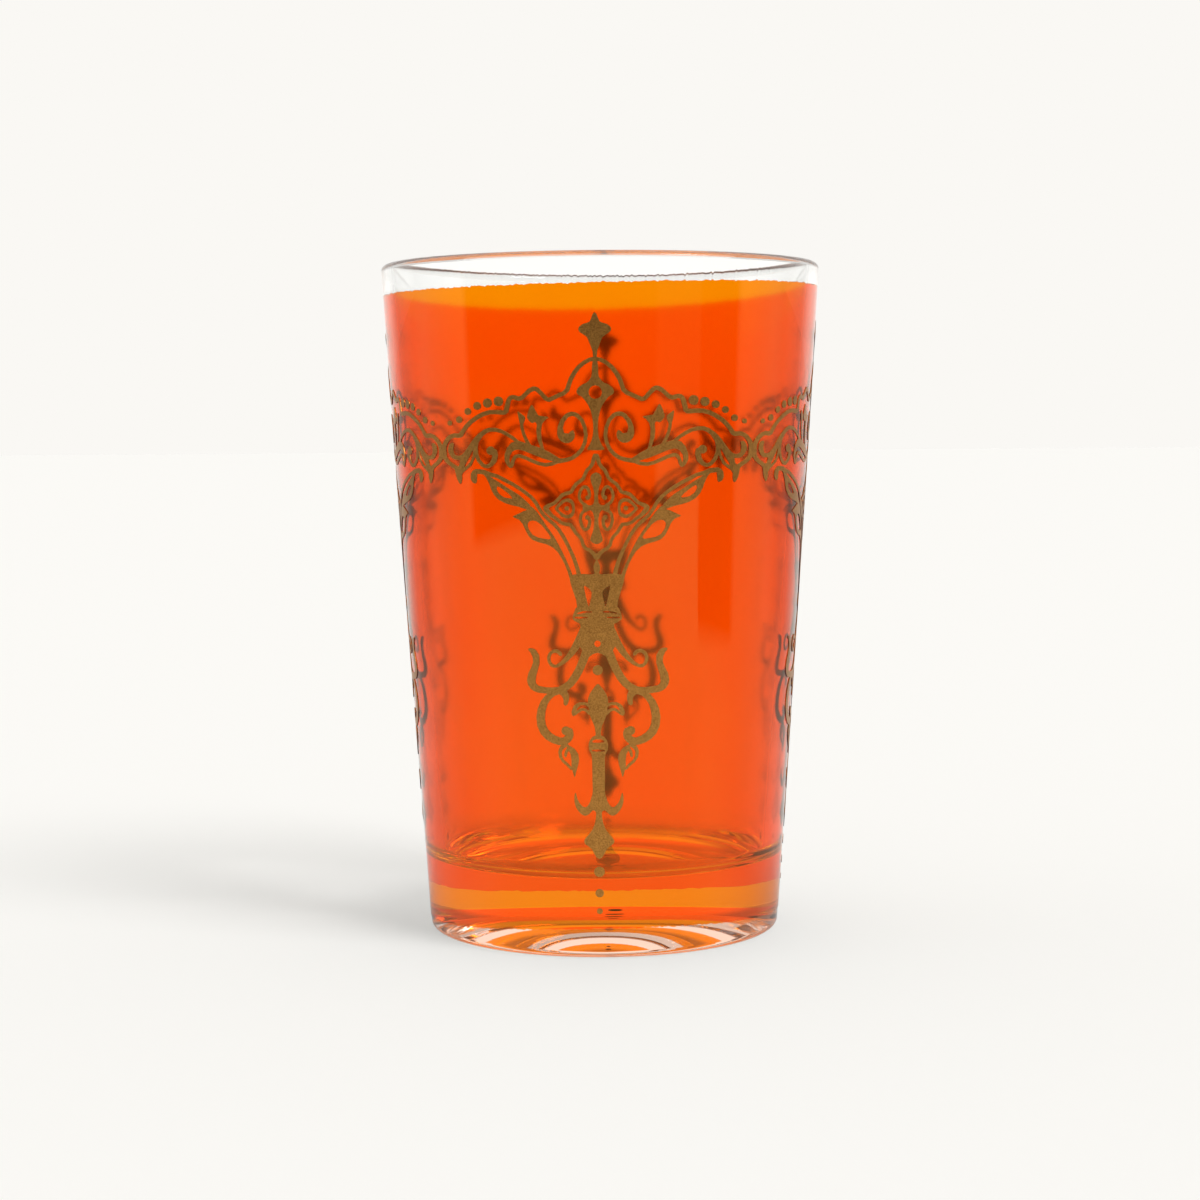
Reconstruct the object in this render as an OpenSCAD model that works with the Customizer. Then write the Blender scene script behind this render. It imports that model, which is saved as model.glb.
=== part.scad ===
// Moroccan tea glass: a tapered pressed glass with a thick base, a transparent orange
// lustre coat on its outer wall, and a gold arabesque printed on the coat.
// The glass stands on z = 0, its axis is the z axis, and one motif faces -y.

/* [Glass] */
// Outer diameter of the lip
rim_d = 60; // [54:0.5:72]
// Outer diameter of the foot, where the line of the wall meets the table
foot_d = 48.2; // [42:0.1:52]
// Height of the glass
height = 91.4; // [80:0.1:120]
// Wall thickness under the lip
lip_wall = 1.5; // [1.2:0.1:2.5]
// Wall thickness where the wall meets the inside floor
floor_wall = 2.6; // [2:0.1:4]
// Height of the inside floor above the table
base_t = 10.2; // [6:0.1:16]
// Radius of the corner between the inside floor and the wall
floor_round = 2.4; // [1:0.1:5]
// Radius of the outer edge of the lip
lip_round = 0.9; // [0.6:0.05:1]
// Radius of the heel
heel_round = 1; // [0.8:0.1:2.4]

/* [Foot] */
// Width of the flat ring that the glass stands on
foot_ring_w = 1.4; // [0.8:0.1:3]
// Width of the slope between the ring and the push-up
foot_slope_w = 1.2; // [0.6:0.1:3]
// Depth of the slope beside the ring
foot_slope_h = 0.3; // [0.2:0.1:1]
// Depth of the push-up at the middle, above the slope
pushup_h = 3.5; // [0.3:0.1:4]
// Extra height of the swell half way out on the push-up
pushup_swell_h = 0.3; // [0:0.1:0.6]

/* [Lustre coat] */
// Thickness of the orange coat
coat_t = 0.06; // [0.04:0.01:0.2]
// Hairline between the wall and the coat, which are two solids
coat_gap = 0.02; // [0.01:0.01:0.05]
// Clear glass left under the top of the lip
lip_clear = 4; // [2:0.1:7]
// Clear glass left above the table
heel_clear = 3; // [2:0.1:5]

/* [Gold print] */
// Motifs round the glass
repeats = 4; // [3:1:5]
// Thickness of the gold ink
ink_t = 0.1; // [0.06:0.01:0.3]
// Height of the lowest drop's lower edge above the table
print_low = 6; // [5.5:0.1:9]
// Distance from the tip of the finial to the top of the lip
print_gap = 7.8; // [7.5:0.1:12]
// Width of a plain line of the print
line_w = 0.56; // [0.4:0.02:0.7]
// Radius of the largest bead of the frieze
bead_r = 0.62; // [0.4:0.02:0.7]
// Radius of the largest drop under the lower finial
drop_r = 0.69; // [0.5:0.02:0.9]
// Radius of the hole in the boss under the finial
boss_hole_r = 0.84; // [0.5:0.02:1]
// Radius of the dot between the horns
dot_r = 0.66; // [0.4:0.02:0.8]
// Radius of the small hole above the horns
body_hole_r = 0.42; // [0.2:0.02:0.5]
// Radius of the eye in each side drop of the medallion
eye_r = 0.3; // [0.2:0.02:0.4]

/* [Hidden] */

rim_r = rim_d / 2;
foot_r = foot_d / 2;
print_h = height - print_gap - print_low;
half_turn = 180 / repeats;
ink_reach = rim_r * 1.1;
seam_gap = line_w / 16;
ink_spread = line_w / 25;
coat_top = coat_gap + coat_t;
arc_steps = 8;
most_steps = 4;
bend_step = 20;
$fn = 96;

// Outer radius of the wall at a height
function wall_r(z) = foot_r + (rim_r - foot_r) * z / height;
// Inner radius of the wall at a height
function bore_r(z) =
    let(low = wall_r(base_t) - floor_wall, high = rim_r - lip_wall)
    low + (high - low) * (z - base_t) / (height - base_t);
// Points of an arc in the plane of a profile
function arc(centre, radius, from, to) =
    [for (i = [0 : arc_steps])
        let(a = from + (to - from) * i / arc_steps)
        centre + radius * [cos(a), sin(a)]];

// The glass

// Half profile of the pressed body: foot ring, heel, wall, lip, bore and floor. The wall has
// a point at each edge of the coat, so that the two are faceted alike.
function body_profile() =
    let(lean = atan((rim_r - foot_r) / height),
        heel_z = heel_round,
        heel_x = wall_r(heel_z) - heel_round / cos(lean),
        ring_out = heel_x,
        ring_in = ring_out - foot_ring_w,
        slope_in = ring_in - foot_slope_w,
        inner_round = lip_wall - lip_round,
        lip_x = rim_r - lip_round / cos(lean),
        floor_x = bore_r(base_t + floor_round) - floor_round,
        dome = [for (i = [0 : 2 * arc_steps])
                   let(t = i / (2 * arc_steps),
                       swell = pushup_swell_h / 2 * (1 - cos(360 * t)))
                   [slope_in * t, foot_slope_h + pushup_h * (1 - t * t) + swell]])
    concat(
        dome,
        [[ring_in, 0]],
        arc([heel_x, heel_z], heel_round, -90, -lean),
        [for (z = [heel_clear, height - lip_clear]) [wall_r(z), z]],
        arc([lip_x, height - lip_round], lip_round, -lean, 90),
        arc([lip_x, height - inner_round], inner_round, 90, 180),
        arc([floor_x, base_t + floor_round], floor_round, 0, -90),
        [[0, base_t]]);

module glass_body() {
    color("#dfe9ee", 0.5)
        rotate_extrude()
            polygon(body_profile());
}

// Half profile of a skin that lies on the wall, between two heights and two thicknesses
module skin_profile(low, high, under, over) {
    polygon([[wall_r(low) + under, low], [wall_r(low) + over, low],
             [wall_r(high) + over, high], [wall_r(high) + under, high]]);
}

module orange_coat() {
    color("#ff5a10", 0.8)
        rotate_extrude()
            skin_profile(heel_clear, height - lip_clear, coat_gap, coat_top);
}

// The print
// The motif is drawn flat and then laid on the wall. Each place is written as shares of
// half a repeat, measured from the motif's middle line, and of the print's height. A third
// number is the share of a plain line's width. Only the right half is drawn.

// Place on the flat drawing, seen from the front
function spot(p) =
    let(z = print_low + print_h * p[1])
    [wall_r(z) * sin(half_turn * p[0]), z];
// One point of a smooth curve through four neighbours
function blend(a, b, c, d, t) =
    0.5 * ((2 * b) + (c - a) * t + (2 * a - 5 * b + 4 * c - d) * t * t
           + (3 * b - a - 3 * c + d) * t * t * t);
function unit(v) = norm(v) > 0 ? v / norm(v) : v;
function flat(p) = [p[0], p[1]];
// Bend between two directions, in degrees
function bend(u, v) = acos(min(max(unit(u) * unit(v), -1), 1));
// Straight steps that stand for the stretch from b to c of a curve through four points
function steps_for(a, b, c, d) =
    let(turn = (bend(flat(b) - flat(a), flat(c) - flat(b))
                + bend(flat(c) - flat(b), flat(d) - flat(c))) / 2)
    min(max(round(turn / bend_step), 1), most_steps);
// Points of that stretch, without its end
function stretch(a, b, c, d) =
    let(steps = steps_for(a, b, c, d))
    [for (s = [0 : steps - 1]) blend(a, b, c, d, s / steps)];
// Smooth open curve through the points
function smooth(pts) =
    let(last = len(pts) - 1)
    concat([for (i = [0 : last - 1])
                each stretch(pts[max(i - 1, 0)], pts[i], pts[i + 1], pts[min(i + 2, last)])],
           [pts[last]]);
// Smooth closed curve through the points
function smooth_loop(pts) =
    let(n = len(pts))
    [for (i = [0 : n - 1])
        each stretch(pts[(i + n - 1) % n], pts[i], pts[(i + 1) % n], pts[(i + 2) % n])];
// Outline of a brush line whose width follows its points, with blunt round ends
function brush_outline(path) =
    let(last = len(path) - 1,
        along = [for (i = [0 : last])
                    unit(flat(path[min(i + 1, last)]) - flat(path[max(i - 1, 0)]))],
        side = [for (d = along) [-d[1], d[0]]],
        left = [for (i = [0 : last]) flat(path[i]) + side[i] * path[i][2] / 2],
        right = [for (i = [last : -1 : 0]) flat(path[i]) - side[i] * path[i][2] / 2],
        head = flat(path[last]) + along[last] * path[last][2] * 0.4,
        tail = flat(path[0]) - along[0] * path[0][2] * 0.4)
    concat(left, [head], right, [tail]);

// A brush line through places of the drawing
module brush(shares) {
    path = [for (p = shares) concat(spot(p), [p[2] * line_w])];
    polygon(brush_outline(smooth(path)));
}

// A closed patch of ink
module patch(shares) {
    polygon(smooth_loop([for (p = shares) spot(p)]));
}

// A patch that the middle line halves, given by its right edge from its top to its bottom
module even_patch(shares) {
    edge = smooth([for (p = shares) spot(p)]);
    last = len(edge) - 1;
    polygon(concat(edge, [for (i = [last - 1 : -1 : 1]) [-edge[i][0], edge[i][1]]]));
}

// A round dot
module dot(place_share, radius) {
    translate(spot(place_share))
        circle(radius);
}

// A round hole in a patch
module hole(place_share, radius) {
    translate(spot(place_share))
        circle(radius, $fn = 18);
}

// A round end of a curl, as a share of a plain line's width
module knob(place_share) {
    translate(spot(place_share))
        circle(place_share[2] * line_w / 2, $fn = 14);
}

// Both halves of the motif
module both() {
    children();
    mirror([1, 0]) children();
}

// Round dots laid on the coat, once for each repeat, with a hairline between two repeats
module laid() {
    low = print_low - line_w;
    high = print_low + print_h + line_w;
    hairline = asin(seam_gap / rim_r);
    turn = 360 / repeats - hairline;
    color("#a5742f")
        for (k = [0 : repeats - 1])
            rotate(k * 360 / repeats)
                intersection() {
                    rotate(-90 - turn / 2)
                        rotate_extrude(angle = turn)
                            skin_profile(low, high, coat_top, coat_top + ink_t);
                    rotate([90, 0, 0])
                        linear_extrude(ink_reach)
                            children();
                }
}

// One clean outline round everything drawn: folds, slivers and hairline slits are closed
module inked() {
    offset(delta = -ink_spread)
        offset(delta = 2 * ink_spread)
            offset(delta = -ink_spread)
                children();
}

// The motif's drawing, inked and laid on the coat
module printed() {
    laid()
        inked()
            children();
}

// Crest: cross finial, stem, boss and spindle

crest_shares = [
    [0, 1], [0.012, 0.996], [0.02, 0.989], [0.027, 0.985], [0.042, 0.983], [0.066, 0.981],
    [0.084, 0.977], [0.09, 0.9725], [0.082, 0.968], [0.062, 0.964], [0.046, 0.961],
    [0.038, 0.957], [0.03, 0.951], [0.021, 0.944], [0.0125, 0.937], [0.0105, 0.929],
    [0.013, 0.921], [0.0175, 0.912], [0.017, 0.903], [0.021, 0.896], [0.035, 0.89],
    [0.05, 0.886], [0.075, 0.883], [0.095, 0.8785], [0.105, 0.872], [0.096, 0.867],
    [0.075, 0.8635], [0.056, 0.857], [0.038, 0.849], [0.026, 0.84], [0.0175, 0.83],
    [0.0135, 0.82], [0.013, 0.81], [0.016, 0.8], [0.023, 0.793], [0.034, 0.786],
    [0.046, 0.7805], [0.048, 0.7775], [0.02, 0.7765], [0, 0.7765]];

module crest_art() {
    difference() {
        even_patch(crest_shares);
        hole([0, 0.871], boss_hole_r);
    }
}

// Frieze: the scalloped line, the running scroll under it and the knots

scallop_shares = [
    [0, 0.9245, 0.9], [0.03, 0.9235, 0.9], [0.06, 0.919, 0.9], [0.09, 0.912, 0.95],
    [0.115, 0.903, 1], [0.135, 0.893, 1], [0.148, 0.883, 1], [0.157, 0.875, 1.05],
    [0.178, 0.8695, 1], [0.205, 0.8665, 0.95], [0.235, 0.8625, 0.95], [0.262, 0.859, 1],
    [0.285, 0.8625, 0.95], [0.308, 0.87, 0.95], [0.33, 0.876, 1], [0.352, 0.8775, 1.05],
    [0.376, 0.8745, 1], [0.4, 0.8685, 0.95], [0.42, 0.8635, 1], [0.44, 0.8615, 1.05],
    [0.465, 0.8635, 1], [0.489, 0.8635, 1.05], [0.506, 0.858, 1.05], [0.515, 0.849, 1.1],
    [0.524, 0.841, 1.15], [0.545, 0.839, 1.05], [0.585, 0.84, 1], [0.63, 0.84, 1],
    [0.675, 0.837, 1], [0.72, 0.8315, 1], [0.765, 0.8245, 1], [0.8, 0.817, 1],
    [0.826, 0.8095, 1], [0.845, 0.803, 1.1], [0.868, 0.8015, 1.05], [0.9, 0.802, 1],
    [0.93, 0.8, 1], [0.955, 0.796, 1.05], [0.975, 0.7905, 1.05], [0.992, 0.7835, 1.1],
    [1, 0.7745, 1.4], [0.992, 0.7655, 1.1], [0.973, 0.7595, 1], [0.95, 0.755, 0.9],
    [0.92, 0.751, 0.9], [0.895, 0.747, 1.1], [0.882, 0.7395, 1.4], [0.876, 0.731, 1.3],
    [0.871, 0.7225, 0.5]];
running_shares = [
    [0.455, 0.7895, 0.8], [0.485, 0.797, 0.75], [0.52, 0.803, 0.8], [0.56, 0.8085, 0.85],
    [0.6, 0.811, 0.9], [0.64, 0.811, 0.95], [0.67, 0.808, 1], [0.7, 0.8025, 1.1],
    [0.725, 0.796, 1.4], [0.75, 0.788, 1.6], [0.78, 0.7795, 1.4], [0.81, 0.7725, 1.1],
    [0.84, 0.767, 0.95], [0.87, 0.7645, 0.95], [0.9, 0.765, 1], [0.923, 0.769, 1.1],
    [0.935, 0.776, 1.3], [0.93, 0.784, 1.2], [0.915, 0.787, 0.8]];
curl_shares = [
    [0.735, 0.789, 1.1], [0.741, 0.78, 1], [0.737, 0.77, 0.9], [0.722, 0.76, 0.85],
    [0.697, 0.753, 0.85], [0.668, 0.7505, 0.85], [0.638, 0.7535, 1], [0.616, 0.76, 1.25],
    [0.606, 0.769, 1.3], [0.611, 0.7765, 1.2]];
curl_knob_share = [0.636, 0.7765, 2];
tip_leaf_shares = [
    [0.728, 0.793], [0.758, 0.789], [0.795, 0.777], [0.835, 0.7675], [0.862, 0.762],
    [0.868, 0.754], [0.89, 0.748], [0.892, 0.738], [0.873, 0.721], [0.862, 0.734],
    [0.842, 0.741], [0.81, 0.746], [0.778, 0.752], [0.755, 0.762], [0.738, 0.774]];
tip_slit_shares = [
    [0.758, 0.7785], [0.778, 0.771], [0.798, 0.7635], [0.817, 0.7565], [0.831, 0.75],
    [0.803, 0.753], [0.778, 0.7605], [0.765, 0.7685]];

module frieze_art() {
    difference() {
        both() {
            brush(scallop_shares);
            brush(running_shares);
            brush(curl_shares);
            knob(curl_knob_share);
            difference() {
                patch(tip_leaf_shares);
                patch(tip_slit_shares);
            }
        }
        crest_art();
    }
}

// Beads over the frieze, each with its share of the largest bead's radius

bead_shares = [
    [0.57, 0.8575, 1], [0.643, 0.855, 0.95], [0.715, 0.8505, 0.82], [0.784, 0.8415, 0.72],
    [0.853, 0.828, 0.7], [0.93, 0.8225, 0.52]];

module bead_art() {
    both()
        for (b = bead_shares)
            dot(b, bead_r * b[2]);
}

// Scrolls: the big spiral, its leaf and the palmette

spiral_shares = [
    [0.235, 0.7585, 1.1], [0.205, 0.7595, 1.05], [0.17, 0.761, 0.95], [0.135, 0.764, 0.9],
    [0.105, 0.77, 0.9], [0.08, 0.778, 0.85], [0.062, 0.789, 0.85], [0.055, 0.801, 0.85],
    [0.061, 0.814, 0.85], [0.078, 0.826, 0.9], [0.104, 0.8335, 0.95], [0.135, 0.836, 1],
    [0.165, 0.8325, 1], [0.188, 0.8245, 1.05], [0.201, 0.814, 1.2], [0.2, 0.8045, 1.6],
    [0.184, 0.798, 2.1], [0.16, 0.7965, 2.3], [0.14, 0.8, 1.8], [0.131, 0.807, 0.9]];
leaf_bar_shares = [
    [0.205, 0.7595, 0.9], [0.235, 0.7625, 1.4], [0.265, 0.7665, 1.75], [0.3, 0.7705, 2],
    [0.34, 0.775, 2], [0.38, 0.779, 1.9], [0.42, 0.783, 1.85], [0.455, 0.7855, 2],
    [0.487, 0.7835, 1.9], [0.51, 0.778, 1.5], [0.527, 0.769, 1.25], [0.53, 0.761, 1.1],
    [0.52, 0.754, 0.9], [0.505, 0.75, 0.7]];
leaf_vein_shares = [
    [0.22, 0.7585, 0.8], [0.255, 0.7545, 0.85], [0.295, 0.753, 0.85], [0.335, 0.7555, 0.8],
    [0.375, 0.76, 0.8], [0.415, 0.765, 0.8], [0.45, 0.768, 0.8], [0.475, 0.7665, 0.8],
    [0.49, 0.7605, 0.8], [0.497, 0.754, 0.8], [0.507, 0.7495, 0.7]];
palmette_shares = [
    [0.267, 0.8305], [0.297, 0.8325], [0.328, 0.834], [0.344, 0.842], [0.362, 0.851],
    [0.374, 0.848], [0.387, 0.8405], [0.395, 0.832], [0.384, 0.8255], [0.366, 0.8215],
    [0.347, 0.823], [0.337, 0.8185], [0.341, 0.809], [0.338, 0.797], [0.324, 0.784],
    [0.312, 0.774], [0.292, 0.771], [0.303, 0.784], [0.312, 0.797], [0.314, 0.81],
    [0.306, 0.82], [0.288, 0.8265]];
side_petal_shares = [
    [0.407, 0.831], [0.426, 0.836], [0.45, 0.8405], [0.4485, 0.832], [0.442, 0.8235],
    [0.429, 0.817], [0.415, 0.8225]];
side_stalk_shares = [
    [0.43, 0.8225, 0.7], [0.428, 0.814, 0.7], [0.42, 0.805, 0.7], [0.408, 0.796, 0.75],
    [0.393, 0.788, 0.8], [0.376, 0.78, 0.9]];

module scroll_art() {
    difference() {
        both() {
            brush(spiral_shares);
            brush(leaf_bar_shares);
            brush(leaf_vein_shares);
            patch(palmette_shares);
            patch(side_petal_shares);
            brush(side_stalk_shares);
        }
        frieze_art();
    }
}

// Medallion: pointed outline, inner cross, curls and side drops

medallion_shares = [
    [0, 0.768, 1.3], [0.012, 0.762, 1], [0.018, 0.7555, 0.9], [0.032, 0.749, 0.85],
    [0.05, 0.7445, 0.8], [0.062, 0.738, 0.8], [0.073, 0.7305, 0.8], [0.092, 0.726, 0.8],
    [0.115, 0.7215, 0.8], [0.132, 0.715, 0.8], [0.146, 0.708, 0.8], [0.172, 0.7065, 0.85],
    [0.198, 0.7035, 0.85], [0.222, 0.6965, 0.8], [0.245, 0.69, 0.8], [0.272, 0.687, 0.85],
    [0.298, 0.682, 1.2], [0.282, 0.675, 1.1], [0.26, 0.669, 0.85], [0.232, 0.664, 0.75],
    [0.21, 0.6585, 0.75], [0.182, 0.6555, 0.8], [0.152, 0.6545, 0.85], [0.137, 0.6485, 0.8],
    [0.121, 0.641, 0.75], [0.101, 0.6355, 0.75], [0.087, 0.6295, 0.75], [0.079, 0.621, 0.8],
    [0.064, 0.6155, 0.8], [0.04, 0.6125, 0.8], [0.018, 0.607, 0.9], [0, 0.6, 1.2]];
cross_shares = [
    [0, 0.7405], [0.02, 0.738], [0.033, 0.7325], [0.029, 0.7245], [0.017, 0.7155],
    [0.011, 0.705], [0.012, 0.693], [0.022, 0.6875], [0.045, 0.6865], [0.064, 0.6905],
    [0.077, 0.687], [0.079, 0.6815], [0.072, 0.6755], [0.058, 0.6755], [0.035, 0.6785],
    [0.018, 0.673], [0.0115, 0.664], [0.013, 0.654], [0.021, 0.644], [0.033, 0.634],
    [0.036, 0.6285], [0.02, 0.6245], [0, 0.6225]];
upper_curl_shares = [
    [0.07, 0.688, 0.7], [0.092, 0.6945, 0.7], [0.098, 0.703, 0.7], [0.088, 0.712, 0.7],
    [0.066, 0.717, 0.75], [0.046, 0.713, 0.75], [0.038, 0.7045, 0.75], [0.044, 0.6985, 0.7]];
upper_knob_share = [0.05, 0.699, 1.1];
lower_curl_shares = [
    [0.07, 0.678, 0.7], [0.089, 0.671, 0.7], [0.094, 0.662, 0.7], [0.086, 0.653, 0.7],
    [0.066, 0.6465, 0.75], [0.046, 0.6505, 0.75], [0.039, 0.66, 0.75], [0.045, 0.6665, 0.7]];
lower_knob_share = [0.052, 0.6665, 1.1];
side_drop_shares = [
    [0.244, 0.6812], [0.223, 0.689], [0.199, 0.6955], [0.171, 0.698], [0.145, 0.6965],
    [0.128, 0.69], [0.1235, 0.6805], [0.13, 0.6715], [0.149, 0.6665], [0.178, 0.665],
    [0.204, 0.668], [0.225, 0.6745]];
side_drop_hole_shares = [
    [0.223, 0.6812], [0.204, 0.6875], [0.181, 0.692], [0.158, 0.6915], [0.143, 0.687],
    [0.14, 0.6795], [0.148, 0.674], [0.168, 0.671], [0.19, 0.672], [0.208, 0.676]];

module medallion_art() {
    even_patch(cross_shares);
    both() {
        brush(medallion_shares);
        brush(upper_curl_shares);
        knob(upper_knob_share);
        brush(lower_curl_shares);
        knob(lower_knob_share);
        difference() {
            patch(side_drop_shares);
            patch(side_drop_hole_shares);
        }
        hole([0.172, 0.6815], eye_r);
    }
}

// Arms: the thin outer line, two leaves with their eyes, the spear and the frame

arm_line_shares = [
    [0.758, 0.7245, 1], [0.7655, 0.731, 1.5], [0.762, 0.7375, 1.5], [0.745, 0.742, 1.2],
    [0.72, 0.742, 1.1], [0.69, 0.741, 1.1], [0.65, 0.7375, 0.95], [0.6, 0.7345, 0.85],
    [0.55, 0.728, 0.85], [0.5, 0.7215, 0.8], [0.46, 0.715, 0.8], [0.42, 0.7075, 0.8],
    [0.385, 0.7, 0.8], [0.357, 0.6905, 0.8], [0.333, 0.679, 0.8], [0.308, 0.6695, 0.8],
    [0.278, 0.662, 0.8], [0.248, 0.655, 0.8], [0.222, 0.6465, 0.8], [0.198, 0.636, 0.8],
    [0.175, 0.624, 0.8], [0.153, 0.611, 0.8], [0.133, 0.5975, 0.85], [0.117, 0.584, 0.9],
    [0.105, 0.57, 1], [0.1, 0.556, 1]];
upper_leaf_shares = [
    [0.7, 0.7395], [0.675, 0.732], [0.657, 0.723], [0.644, 0.713], [0.627, 0.704],
    [0.598, 0.696], [0.555, 0.69], [0.51, 0.6865], [0.465, 0.684], [0.425, 0.6805],
    [0.4, 0.679], [0.395, 0.6875], [0.425, 0.6955], [0.46, 0.7035], [0.5, 0.71],
    [0.54, 0.7165], [0.58, 0.723], [0.62, 0.7295], [0.66, 0.7355]];
upper_eye_shares = [
    [0.505, 0.6985], [0.53, 0.706], [0.562, 0.7125], [0.598, 0.7175], [0.607, 0.7125],
    [0.588, 0.7045], [0.56, 0.6995], [0.53, 0.698]];
lower_leaf_shares = [
    [0.505, 0.6675], [0.47, 0.6725], [0.435, 0.677], [0.41, 0.6795], [0.405, 0.686],
    [0.375, 0.6825], [0.347, 0.674], [0.32, 0.663], [0.295, 0.652], [0.27, 0.6425],
    [0.248, 0.633], [0.226, 0.622], [0.204, 0.61], [0.184, 0.598], [0.165, 0.586],
    [0.148, 0.574], [0.138, 0.562], [0.135, 0.548], [0.15, 0.5505], [0.16, 0.563],
    [0.174, 0.577], [0.19, 0.589], [0.21, 0.6], [0.232, 0.61], [0.262, 0.6175],
    [0.3, 0.6225], [0.345, 0.6255], [0.385, 0.6295], [0.41, 0.6365], [0.427, 0.6455],
    [0.443, 0.6555], [0.465, 0.6625]];
lower_eye_shares = [
    [0.272, 0.634], [0.297, 0.6445], [0.325, 0.654], [0.358, 0.6605], [0.395, 0.661],
    [0.413, 0.6555], [0.406, 0.6465], [0.385, 0.638], [0.352, 0.6335], [0.31, 0.6315],
    [0.285, 0.6305]];
spear_shares = [
    [0, 0.5985], [0.01, 0.593], [0.02, 0.586], [0.017, 0.579], [0.0115, 0.575],
    [0.03, 0.5725], [0.07, 0.5735], [0.11, 0.5735], [0.14, 0.5725], [0.162, 0.566],
    [0.153, 0.553], [0.139, 0.541], [0.126, 0.53], [0.121, 0.519], [0.121, 0.5165],
    [0, 0.5165]];
slot_shares = [
    [0.032, 0.543], [0.048, 0.5495], [0.077, 0.5535], [0.073, 0.544], [0.063, 0.531],
    [0.051, 0.5195], [0.041, 0.527], [0.034, 0.5355]];

module arm_patches() {
    even_patch(spear_shares);
    both() {
        brush(arm_line_shares);
        patch(upper_leaf_shares);
        patch(lower_leaf_shares);
    }
}

module arm_art() {
    difference() {
        arm_patches();
        both() {
            patch(upper_eye_shares);
            patch(lower_eye_shares);
            patch(slot_shares);
        }
        medallion_art();
        below_collar();
    }
}

// Everything under the top of the collar, cut off from the arms
collar_top_share = 0.5185;
module below_collar() {
    top = spot([0, collar_top_share])[1];
    translate([-rim_r, 0])
        square([rim_d, top]);
}

// Pendant: collar, horns, bud, C-scrolls, shaft, crossguard and lower finial

collar_shares = [
    [0, 0.5185], [0.06, 0.5185], [0.121, 0.5185], [0.136, 0.513], [0.146, 0.506],
    [0.149, 0.499], [0.13, 0.4945], [0.108, 0.4915], [0.102, 0.487], [0.106, 0.477],
    [0.114, 0.465], [0.108, 0.453], [0.094, 0.4465], [0.075, 0.437], [0.05, 0.436],
    [0.03, 0.44], [0, 0.4425]];
upper_groove_shares = [[0.035, 0.5105, 0.35], [0.075, 0.5105, 0.45], [0.118, 0.508, 0.3]];
lower_groove_shares = [[0.06, 0.5015, 0.3], [0.1, 0.501, 0.45], [0.136, 0.501, 0.35]];
tentacle_shares = [
    [0.085, 0.482, 1.6], [0.108, 0.466, 1.8], [0.135, 0.4525, 1.7], [0.163, 0.441, 1.4],
    [0.192, 0.432, 1.1], [0.222, 0.425, 0.85], [0.25, 0.4205, 0.75], [0.276, 0.42, 0.75],
    [0.297, 0.425, 0.75], [0.304, 0.4335, 0.75], [0.293, 0.441, 0.75], [0.268, 0.445, 0.8],
    [0.243, 0.444, 0.85], [0.226, 0.439, 0.8]];
horn_shares = [
    [0.055, 0.456, 2], [0.07, 0.443, 2], [0.09, 0.429, 1.9], [0.113, 0.415, 1.85],
    [0.14, 0.402, 1.85], [0.17, 0.3915, 1.8], [0.205, 0.384, 1.7], [0.245, 0.3795, 1.6],
    [0.29, 0.3785, 1.5], [0.335, 0.379, 1.5], [0.378, 0.3805, 1.6], [0.41, 0.3855, 1.8],
    [0.423, 0.3945, 2], [0.415, 0.405, 1.9], [0.398, 0.415, 1.6], [0.385, 0.4255, 1.5],
    [0.387, 0.436, 1.6], [0.403, 0.4435, 1.4], [0.43, 0.447, 0.6]];
c_scroll_shares = [
    [0.205, 0.356, 0.9], [0.199, 0.365, 1.3], [0.21, 0.374, 1.7], [0.245, 0.3775, 1.3],
    [0.283, 0.374, 1.3], [0.315, 0.3675, 1.5], [0.342, 0.358, 1.7], [0.36, 0.346, 1.9],
    [0.368, 0.333, 2], [0.364, 0.32, 2], [0.347, 0.3095, 2], [0.32, 0.302, 2],
    [0.285, 0.2965, 1.9], [0.248, 0.2935, 1.8], [0.212, 0.2945, 1.8], [0.186, 0.301, 1.8],
    [0.178, 0.3085, 1.5], [0.184, 0.314, 1.2]];
c_knob_share = [0.205, 0.3115, 2.1];
near_leaf_shares = [
    [0.212, 0.29], [0.18, 0.286], [0.15, 0.281], [0.129, 0.2725], [0.124, 0.2635],
    [0.131, 0.2535], [0.143, 0.2435], [0.154, 0.2335], [0.166, 0.2425], [0.174, 0.252],
    [0.173, 0.262], [0.178, 0.272], [0.195, 0.2805]];
far_leaf_shares = [
    [0.205, 0.2885, 1.1], [0.232, 0.2835, 1], [0.247, 0.2755, 0.8], [0.243, 0.267, 0.7],
    [0.226, 0.26, 0.65], [0.2, 0.2545, 0.65], [0.174, 0.247, 0.6]];
leaf_rib_shares = [
    [0.19, 0.282, 0.8], [0.206, 0.2755, 0.7], [0.212, 0.268, 0.5]];
bud_shares = [
    [0, 0.3905], [0.012, 0.3885], [0.032, 0.3815], [0.049, 0.375], [0.061, 0.367],
    [0.064, 0.359], [0.058, 0.35], [0.056, 0.342], [0.046, 0.3335], [0.034, 0.3265],
    [0.023, 0.319], [0.018, 0.311], [0.018, 0.304], [0.038, 0.3015], [0.054, 0.296],
    [0.062, 0.2885], [0.059, 0.28], [0.046, 0.2735], [0.041, 0.266], [0.0405, 0.25],
    [0.04, 0.23], [0.039, 0.212], [0.043, 0.2], [0.055, 0.193], [0.06, 0.185],
    [0.045, 0.178], [0.026, 0.1765], [0.0185, 0.172], [0.021, 0.163], [0.029, 0.154],
    [0.042, 0.1455], [0.062, 0.138], [0.085, 0.1315], [0.099, 0.1255], [0.091, 0.1195],
    [0.068, 0.1155], [0.048, 0.111], [0.034, 0.1035], [0.02, 0.0975], [0, 0.0945]];
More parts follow.
